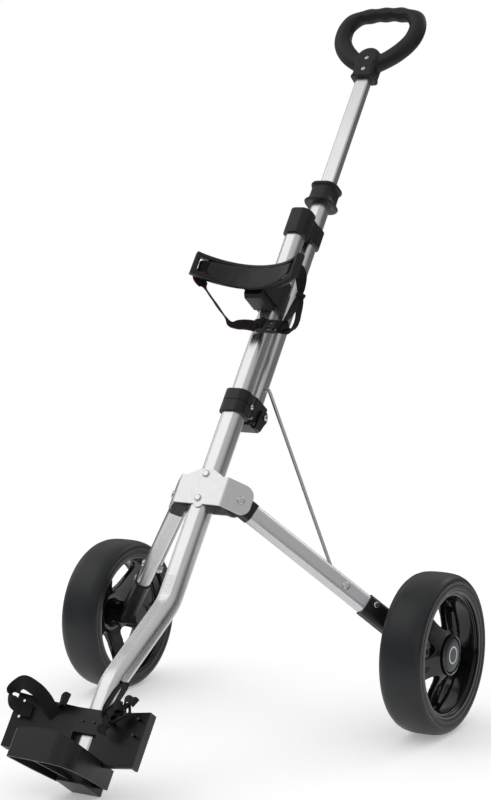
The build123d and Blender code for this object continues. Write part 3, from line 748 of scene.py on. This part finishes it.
both_wheels(tyre_shape, "tyre_right_shape", tyre_rubber, "tyre_rubber", "tyre", 30)
both_wheels(lambda: joined("wheel", [barrel_shape(), web_shape(), hub_shape()]),
            "wheel_centre_right_shape", gloss_plastic, "wheel_plastic", "wheel_centre")
both_wheels(cap_shape, "hub_cap_right_shape", cap_plastic, "hub_cap_plastic", "hub_cap")
both_wheels(ring_mark, "hub_cap_ring_right", pale_mark, "hub_cap_plastic", None)


# ---- handle grip ---------------------------------------------------------------------
RING_LIFT = 4.0


def grip_ring():
    """D-shaped ring whose top bar has finger waves."""
    half = [(0, 1002.4, 12.4), (14, 1002.2, 12.2), (28, 1001.2, 12.6), (42, 999, 12.4), (54, 995.5, 13.2),
            (65, 988, 14.4), (71.5, 976, 15.4), (73, 962, 16.0), (70, 945, 16.4), (61, 929, 16.8),
            (47, 914, 16.8), (31, 902, 16.2), (15, 893, 15.4)]
    half = [(x, s + RING_LIFT * (s - 889) / 113, radius) for x, s, radius in half]
    loop = half + [(0, 889, 14)] + [(-x, s, r) for x, s, r in reversed(half[1:])]
    line = curve_through(loop, 6, closed=True)
    rings = []
    for index, (x, s, radius) in enumerate(line):
        before, after = line[index - 1], line[(index + 1) % len(line)]
        tangent = Vector((after[0] - before[0], 0, after[1] - before[1])).normalized()
        side = tangent.cross(Vector((0, 1, 0)))
        if s > 975:
            radius += 1.3 * cos(2 * pi * x / 32.0)
        ring = []
        for step in range(24):
            turn = 2 * pi * step / 24
            point = (Vector((x, REAR_Y, s)) + side * radius * cos(turn)
                     + Vector((0, 1, 0)) * 13.6 * sin(turn))
            ring.append(tuple(point))
        rings.append(ring)
    return loft("ring", rings, TUBE, closed=True)


def boss():
    """Socket on the handle tube with a domed top between the ring's arms."""
    neck = block("neck", (-21.5, REAR_Y - 16, 859), (21.5, REAR_Y + 15, 906), TUBE, corner=8, soft=2.5)
    facing = placement(TUBE @ Vector((0, REAR_Y, 899)), ACROSS, ALONG, -BACK)
    dome = lathe("dome", [(0, -15), (19, -15), (23, -12), (23.5, 10), (22.5, 14), (19, 16.5), (0, 16.5)],
                 facing, steps=64, closed=False)
    lip = block("lip", (-23, REAR_Y - 17, 858), (23, REAR_Y + 16, 864), TUBE, corner=8, soft=1.8)
    return [neck, lip, dome]


grip = fused("handle_grip_shape", [grip_ring()] + boss(), voxel=1.3, rounds=7)
screw_wells = []
for height in (874, 898):
    well = placement(TUBE @ Vector((0, REAR_Y - 12.5, height)), ACROSS, ALONG, -BACK)
    screw_wells.append(lathe("well", [(0, 0), (4.9, 0), (5.2, 9), (0, 9)], well, steps=28, closed=False))
cut(grip, screw_wells)
shade(grip, 50)
dress(grip, "handle", grip_rubber, "grip_rubber", "handle_grip")
heads = [screw_head("head", 4.6, 2.4, TUBE, (0, REAR_Y - 14.2, height), (0, -1, 0))
         for height in (874, 898)]
dress(joined("handle_screw_heads", heads), "handle", screw_metal, "fastener_steel", "handle_screws")


# ---- spool collar --------------------------------------------------------------------
def collar_ring(grow, height):
    return rounded_ring(19 + grow, 17.5 + grow, 11 + grow, height, REAR_Y)


spool_profile = [(-3.5, 588.6), (4, 587.6), (8.2, 588.2), (9.2, 590.2), (8.0, 592.2), (5.2, 594.4),
                 (4.0, 597.5), (3.4, 602), (3.2, 609), (3.3, 616), (4.0, 619.8), (5.4, 621.4), (6.3, 623.0),
                 (6.6, 625.0), (5.6, 626.7), (2.5, 627.3), (-2.0, 626.4), (-3.4, 624.4), (-3.4, 616)]
spool = loft("spool_collar_shape", [collar_ring(grow, height) for grow, height in spool_profile], TUBE)
shade(spool, 60)
dress(spool, "mast", black_plastic, "black_plastic", "spool_collar")


# ---- cradle --------------------------------------------------------------------------
CRADLE_R = 138.0
CRADLE_Y = -71.0 - CRADLE_R


def on_arc(radius, angle, height):
    return (radius * sin(radians(angle)), CRADLE_Y + radius * cos(radians(angle)), height)


def arc_bar(name, section, start, end, steps=40):
    """Bar whose (radius, height) section is carried round the cradle's arc, in degrees."""
    rings = []
    for step in range(steps + 1):
        angle = start + (end - start) * step / steps
        rings.append([on_arc(radius, angle, height) for radius, height in section])
    return loft(name, rings, TUBE)


def cradle_frame():
    top = [(132.5, 385.5), (133.5, 391), (136, 392.4), (144, 392.4), (146.2, 391), (146.4, 386),
           (144, 384.6), (134, 384.2)]
    low = [(radius, 742 - height) for radius, height in reversed(top)]
    back_wall = [(139.5, 356), (139.5, 386), (143.5, 386), (143.5, 356)]
    end_bar = [(133, 351), (133, 391), (136, 392.2), (144, 392.2), (146.4, 391), (146.4, 351), (144, 349.8),
               (136, 349.8)]
    parts = [
        arc_bar("top", top, -45, 45),
        arc_bar("low", low, -45, 45),
        arc_bar("wall", back_wall, -36, 36),
        arc_bar("left", end_bar, -45.4, -41.8, 4),
        arc_bar("right", end_bar, 41.8, 45.4, 4),
    ]
    return fused("cradle_shell_shape", parts, voxel=1.0, rounds=4)


dress(cradle_frame(), "mast", black_plastic, "black_plastic", "cradle_shell")


def cradle_pad():
    """Soft pad in the yoke: crowned, with a lip that rolls over the yoke's lower rim."""
    middle = [(139, 386), (135.5, 387), (132.6, 385.4), (131.0, 381), (130.4, 374), (130.2, 366),
              (129.6, 358), (128.8, 351), (128.9, 345), (130.2, 341.6), (132.0, 342.6), (132.6, 347),
              (132.6, 357.6), (139, 358.6)]
    ends = [(139, 384), (136.6, 384.4), (134.6, 383.4), (133.6, 380), (133.2, 376), (133.0, 372),
            (133.2, 367), (133.4, 364), (133.9, 361.6), (134.6, 360.2), (135.6, 359.4), (136.6, 359),
            (137.6, 358.8), (139, 358.6)]
    across = 60
    rings = []
    for i in range(across + 1):
        u = 2 * i / across - 1
        blend = abs(u) ** 3.2
        ring = []
        for k, (inner, outer) in enumerate(zip(middle, ends)):
            radius = inner[0] + (outer[0] - inner[0]) * blend
            height = inner[1] + (outer[1] - inner[1]) * blend
            if 0 < k < 10:
                radius += 0.7 * noise.noise(Vector((u * 5, k * 0.35, 0.4))) * (1 - blend)
            ring.append(on_arc(radius, 34.8 * u, height))
        rings.append(ring)
    pad = loft("cradle_pad_shape", rings, TUBE)
    subdivide = pad.modifiers.new("soft", "SUBSURF")
    subdivide.levels = 1
    apply_all(pad)
    shade(pad, 60)
    return pad


pad = dress(cradle_pad(), "mast", pad_rubber, "pad_rubber", "cradle_pad")

# ---- straps --------------------------------------------------------------------------
UP = (0, 0, 1)
EDGE_ON = (-0.3, 0.9, 0.4)     # direction across a strap that is seen on its edge

strap_left = [
    (on_arc(136.6, -33.6, 370), UP, 23), (on_arc(137.4, -37.0, 370), UP, 23),
    (on_arc(140.0, -39.8, 370), UP, 23), (on_arc(145.5, -40.8, 369), UP, 22),
    (on_arc(150.0, -39.6, 364), (0.1, 0.2, 1), 21), ((-95, -90, 355), (0.2, 0.3, 0.9)),
    ((-88, -82, 348), (0.4, 0.6, 0.6), 18), ((-83, -77, 342), EDGE_ON), ((-62, -60, 321), EDGE_ON),
    ((-44, -46, 304), EDGE_ON), ((-35, -41, 298), (0, 0.5, 0.8), 18), ((-24, -38, 299), (0, 0.15, 1), 19),
    ((-10, -35, 301), (0.05, 0.1, 1)), ((6, -33, 300), (0, 0.1, 1)), ((16, -32, 300), (0, 0.1, 1), 18),
]
left_band = ribbon("cradle_strap_left_shape", strap_left, TUBE, width=20)
dress(left_band, "mast", red_webbing, "webbing", "cradle_strap_left")

fall = [
    (on_arc(136.6, 33.6, 370), UP, 23), (on_arc(137.4, 37.0, 370), UP, 23),
    (on_arc(140.0, 39.8, 370), UP, 23), (on_arc(145.5, 40.6, 370), UP, 22),
    ((95, -88, 368), (0.5, 0.5, 0.8), 20), ((95, -80, 358), (0.8, 0.4, 0.3), 17),
    ((95, -74, 348), (0.9, 0.3, 0), 13), ((95, -71, 340), (0.9, 0.3, 0), 8),
    ((95, -70, 335), (0.9, 0.3, 0), 9),
]
inner_strand = [
    ((95, -70, 340), (0.9, 0.3, 0), 8), ((91, -65, 334), (0.8, 0.4, 0.1), 11),
    ((81, -54, 326), (0.5, 0.6, 0.5), 16), ((70, -44, 317), (0.4, 0.5, 0.7), 17),
    ((58, -36, 306), (0.3, 0.2, 0.9), 17), ((46, -32, 301), (0, 0.1, 1), 18),
]
outer_strand = [
    ((96, -70, 339), (0.9, 0.3, 0), 8), ((97, -66, 328), (0.6, 0.8, 0.2), 10),
    ((96, -60, 314), (0.4, 0.9, 0.2), 11), ((93, -52, 301), (0.2, 0.9, 0.3), 11),
    ((86, -44, 292), (0.1, 0.8, 0.5), 12), ((78, -37, 290), (0.2, 0.4, 0.9), 13),
    ((62, -33, 294), (0, 0.1, 1), 14), ((52, -32, 297), (0, 0.1, 1), 14),
]
gather = [
    ((89, -72, 339), (0.1, 0.2, 1)), ((93, -76, 338), (0, 0.2, 1)), ((100, -75, 337), (0.1, 0.2, 1)),
    ((103, -69, 337), (0.1, 0.2, 1)), ((99, -64, 338), (0, 0.2, 1)), ((91, -66, 339), (0, 0.2, 1)),
    ((89, -71, 339), (0.1, 0.2, 1)),
]
tails = [ribbon("fall", fall, TUBE), ribbon("inner", inner_strand, TUBE),
         ribbon("outer", outer_strand, TUBE), ribbon("gather", gather, TUBE, width=5)]
dress(joined("cradle_strap_right_shape", tails), "mast", webbing, "webbing", "cradle_strap_right")


def fold_loops(name, spots, place, width=19.0):
    """Short doubled-over bights of webbing, where its slack is gathered."""
    bights = []
    for (x, y, z), along, out, lift in spots:
        along, out = Vector(along).normalized(), Vector(out).normalized()
        across = along.cross(out)
        base = Vector((x, y, z))
        line = [base - along * 7 - out * 1.5, base - along * 4.5 + out * (lift * 0.7), base + out * lift,
                base + along * 4.5 + out * (lift * 0.7), base + along * 7 - out * 1.5]
        bights.append(ribbon("bight", [(tuple(point), tuple(across)) for point in line], place, width,
                             per_span=5))
    return joined(name, bights)


def buckle(name, place, centre, along, out, length=44.0, width=25.0, deep=8.0):
    """Two-part side-release buckle: a socket, two sprung arms, and a ladder bar."""
    along, out = Vector(along).normalized(), Vector(out).normalized()
    side = out.cross(along)
    here = place @ Matrix.Translation(Vector(centre)) @ Matrix((along, side, out)).transposed().to_4x4()
    half, wide, rise = length / 2, width / 2, deep / 2
    parts = [
        block("socket", (-half, -wide, -rise), (-2, wide, rise), here, corner=4, soft=1.4),
        block("heel", (half - 15, -wide, -rise * 0.8), (half - 9, wide, rise * 0.8), here, corner=1.5,
              soft=1.2),
        block("bar", (half - 4, -wide, -rise * 0.7), (half, wide, rise * 0.7), here, corner=1.5, soft=1.2),
        block("middle", (-3, -wide * 0.36, -rise * 0.7), (half - 10, wide * 0.36, rise * 0.7), here,
              corner=2, soft=1),
    ]
    for sign in (-1, 1):
        low, high = sorted((sign * (wide - 4.2), sign * wide))
        parts.append(block("arm", (-4, low, -rise * 0.75), (half - 9, high, rise * 0.75), here, corner=1.8,
                           soft=1))
        low, high = sorted((sign * (wide - 3.2), sign * wide))
        parts.append(block("link", (half - 11, low, -rise * 0.6), (half - 1, high, rise * 0.6), here,
                           corner=1.2, soft=0.9))
    return fused(name, parts, voxel=0.8, rounds=3)


dress(buckle("cradle_buckle_shape", TUBE, (33, -36, 299), (1, 0, -0.06), (0, -1, 0.1)), "mast",
      black_plastic, "black_plastic", "cradle_buckle")
cradle_bights = [
    ((12, -37, 300), (1, 0, 0.2), (0, -1, 0.1), 5.0), ((20, -41, 303), (1, 0.1, -0.5), (0, -1, 0.4), 3.5),
    ((53, -37, 298), (1, 0, -0.3), (0, -1, 0.2), 5.5), ((62, -36, 300), (1, 0, 0.4), (0.1, -1, 0), 4.0),
]
dress(fold_loops("cradle_strap_bights", cradle_bights, TUBE, 17), "mast", webbing, "webbing")

# ---- foot straps ---------------------------------------------------------------------
foot_left = [
    ((-88, -117.5, -427), UP), ((-98, -120, -427), UP), ((-108, -121, -424), (0, -0.2, 1)),
    ((-121, -125, -419), (0.3, -0.5, 0.8)), ((-124, -131, -407), (0.4, -0.6, 0.6)),
    ((-104, -141, -393), (0.1, -0.3, 0.95)), ((-79, -141, -399), (0.35, -0.2, 0.9)),
    ((-66, -128, -407), (0.6, -0.2, 0.75)), ((-59, -113, -418), (0.6, -0.1, 0.8)),
    ((-56, -99, -423), (0.5, 0, 0.85)),
]
flap = [
    ((-62, -96, -420), (0.3, 0, 1)), ((-54, -106, -408), (0.4, -0.2, 0.9)),
    ((-44, -112, -398), (0.6, -0.3, 0.8)), ((-33, -115, -401), (0.7, -0.3, 0.7)),
]
straps = [ribbon("a", foot_left, TUBE, width=21), ribbon("b", flap, TUBE, width=19)]
dress(joined("foot_strap_left_shape", straps), "frame", webbing, "webbing", "foot_strap_left")
DEEP = (-0.22, 0.9, 0.34)
foot_right = [
    ((50, -100, -420), DEEP), ((38, -100, -421), DEEP), ((28, -100, -412), DEEP), ((25, -100, -398), DEEP),
    ((29, -100, -379), DEEP), ((37, -101, -362), DEEP), ((43, -102, -358), DEEP), ((47, -103, -366), DEEP),
    ((45, -104, -382), DEEP), ((40, -105, -398), DEEP), ((38, -106, -410), (0.6, 1, 0.3)),
]
dress(ribbon("foot_strap_right_shape", foot_right, TUBE, width=19), "frame", webbing, "webbing",
      "foot_strap_right")
dress(buckle("foot_buckle_shape", TUBE, (68, -120, -409), (0.86, -0.2, 0.5), (-0.1, -1, 0.1),
             length=36, width=21, deep=7), "frame", black_plastic, "black_plastic", "foot_buckle")
foot_bights = [
    ((84, -124, -395), (0.9, -0.2, 0.3), (-0.2, -0.8, 0.6), 5.5),
    ((76, -124, -393), (0.7, -0.2, 0.7), (-0.4, -0.8, 0.4), 5.0),
    ((62, -122, -404), (0.8, -0.2, 0.6), (-0.3, -0.9, 0.3), 5.5),
    ((55, -119, -414), (0.5, -0.2, 0.8), (-0.5, -0.9, 0), 6.0),
    ((49, -116, -424), (0.5, -0.1, 0.9), (-0.4, -0.9, 0), 5.0),
    ((45, -114, -436), (0.3, 0, 1), (-0.3, -1, 0), 4.5),
]
dress(fold_loops("foot_strap_bights", foot_bights, TUBE, 20), "frame", webbing, "webbing")

# ---- small fittings ------------------------------------------------------------------
for side, material in (("left", screw_metal), ("right", blackened)):
    rivets = clean_copy(f"strap_rivets_{side}", "strap_rivets")
    work = bmesh.new()
    work.from_mesh(rivets.data)
    sign = -1 if side == "left" else 1
    bmesh.ops.delete(work, geom=[v for v in work.verts if v.co.x * sign < 0], context="VERTS")
    work.to_mesh(rivets.data)
    work.free()
    shade(rivets, 35)
    dress(rivets, "frame", material, "fastener_steel", "strap_rivets")

for side in ("left", "right"):
    rod = clean_copy(f"strut_rod_{side}_shape", f"strut_rod_{side}")
    thicken = rod.modifiers.new("thicken", "DISPLACE")
    thicken.strength = 0.4 * MM
    thicken.mid_level = 0.0
    apply_all(rod)
    shade(rod, 40)
    dress(rod, f"strut_{side}", rod_metal, "strut_steel", f"strut_rod_{side}")

# name, body, (place, direction) of each head, radius, height, and whether it has a hex recess
FITTINGS = [
    ("clamp_side_screw", "mast", [((22.4, 9, 172), (1, 0, 0)), ((-22.4, 9, 172), (-1, 0, 0))], 4.2, 2.4,
     True),
    ("lever_pin_heads", "mast",
     [((23.6, LEVER_BACK, LEVER_UP), (1, 0, 0)), ((-23.6, LEVER_BACK, LEVER_UP), (-1, 0, 0))], 4.8, 2.6,
     False),
]
for name, body, spots, radius, height, recess in FITTINGS:
    heads = [screw_head("head", radius, height, TUBE, at, normal, recess) for at, normal in spots]
    dress(joined(name, heads), body, screw_metal, "fastener_steel")

# ---- studio --------------------------------------------------------------------------
YAW, PITCH, ROLL = radians(31.622), radians(7.197), radians(-1.063)
back = Vector((sin(YAW) * cos(PITCH), -cos(YAW) * cos(PITCH), sin(PITCH)))
level = Vector((cos(YAW), sin(YAW), 0))
above = back.cross(level)
camera = bpy.data.objects.new("camera", bpy.data.cameras.new("camera"))
bpy.context.scene.collection.objects.link(camera)
bpy.context.scene.camera = camera
right_axis = level * cos(ROLL) + above * sin(ROLL)
up_axis = above * cos(ROLL) - level * sin(ROLL)
facing = Matrix((right_axis, up_axis, back)).transposed().to_4x4()
camera_at = Vector((1.7348, hub.y - 2.8789, 0.9479))     # in metres
camera.matrix_world = Matrix.Translation(camera_at) @ facing
camera.data.lens = 92.03
camera.data.sensor_width = 36
camera.data.clip_end = 60


def soft_light(name, at, target, size, power):
    data = bpy.data.lights.new(name, "AREA")
    data.shape = "RECTANGLE"
    data.size, data.size_y = size
    data.energy = power
    lamp = bpy.data.objects.new(name, data)
    bpy.context.scene.collection.objects.link(lamp)
    lamp.location = at
    lamp.rotation_mode = "QUATERNION"
    lamp.rotation_quaternion = (Vector(target) - Vector(at)).to_track_quat("-Z", "Y")
    return lamp


soft_light("key", (-2.1, -1.5, 3.3), (0, 0, 0.5), (3.0, 2.6), 21)
soft_light("fill", (3.0, -2.6, 1.5), (0, 0, 0.4), (1.4, 2.0), 7)
soft_light("rim", (1.2, 2.8, 2.4), (0, 0, 0.6), (1.6, 1.2), 9)
soft_light("side", (-3.0, 0.6, 1.2), (0, 0, 0.4), (1.0, 1.8), 6)

world = bpy.data.worlds.new("studio")
world.use_nodes = True
bpy.context.scene.world = world
tree = world.node_tree
tree.nodes.clear()
output = tree.nodes.new("ShaderNodeOutputWorld")
seen = tree.nodes.new("ShaderNodeBackground")
seen.inputs["Color"].default_value = (1, 1, 1, 1)
lit = tree.nodes.new("ShaderNodeBackground")
lit.inputs["Strength"].default_value = 0.8
where = tree.nodes.new("ShaderNodeTexCoord")
parts = tree.nodes.new("ShaderNodeSeparateXYZ")
tree.links.new(where.outputs["Generated"], parts.inputs["Vector"])
ramp_node = tree.nodes.new("ShaderNodeValToRGB")
ramp = ramp_node.color_ramp
lift = tree.nodes.new("ShaderNodeMath")
lift.operation = "MULTIPLY_ADD"
lift.inputs[1].default_value = 0.5
lift.inputs[2].default_value = 0.5
tree.links.new(parts.outputs["Z"], lift.inputs[0])
tree.links.new(lift.outputs["Value"], ramp_node.inputs["Fac"])
tree.links.new(ramp_node.outputs["Color"], lit.inputs["Color"])
ramp.elements[0].position = 0.0
ramp.elements[0].color = (0.60, 0.60, 0.61, 1)
ramp.elements[1].position = 1.0
ramp.elements[1].color = (0.95, 0.95, 0.95, 1)
for height, grey in ((0.36, 0.50), (0.44, 0.20), (0.54, 0.16), (0.66, 0.55), (0.80, 0.85)):
    stop = ramp.elements.new(height)
    stop.color = (grey, grey, grey * 1.02, 1)
path = tree.nodes.new("ShaderNodeLightPath")
mix = tree.nodes.new("ShaderNodeMixShader")
tree.links.new(path.outputs["Is Camera Ray"], mix.inputs["Fac"])
tree.links.new(lit.outputs["Background"], mix.inputs[1])
tree.links.new(seen.outputs["Background"], mix.inputs[2])
tree.links.new(mix.outputs["Shader"], output.inputs["Surface"])

floor = new_object("floor", [(-4, -4, 0), (4, -4, 0), (4, 4, 0), (-4, 4, 0)], [(0, 1, 2, 3)])
floor_nodes = Nodes("floor_pale")
floor_tone = floor_nodes.noise(floor_nodes.place((3, 3, 3)), detail=2)
floor_nodes.into(floor_nodes.colours(floor_tone, (0.94, 0.94, 0.94), (0.97, 0.97, 0.97)), "Base Color")
floor_nodes.put("Roughness", 0.8)
floor_nodes.put("Emission Color", (1, 1, 1, 1))
floor_nodes.put("Emission Strength", 0.3)
ball = floor_nodes.add("ShaderNodeTexGradient", gradient_type="SPHERICAL")
floor_nodes.link(floor_nodes.place((0.4, 0.4, 0.4)), ball.inputs["Vector"])
floor_nodes.into(floor_nodes.spread(ball.outputs["Fac"], 0.0, 1.0, 0.0, 0.6), "Alpha")
floor.data.materials.append(floor_nodes.material)

bpy.context.scene.view_settings.view_transform = "Standard"
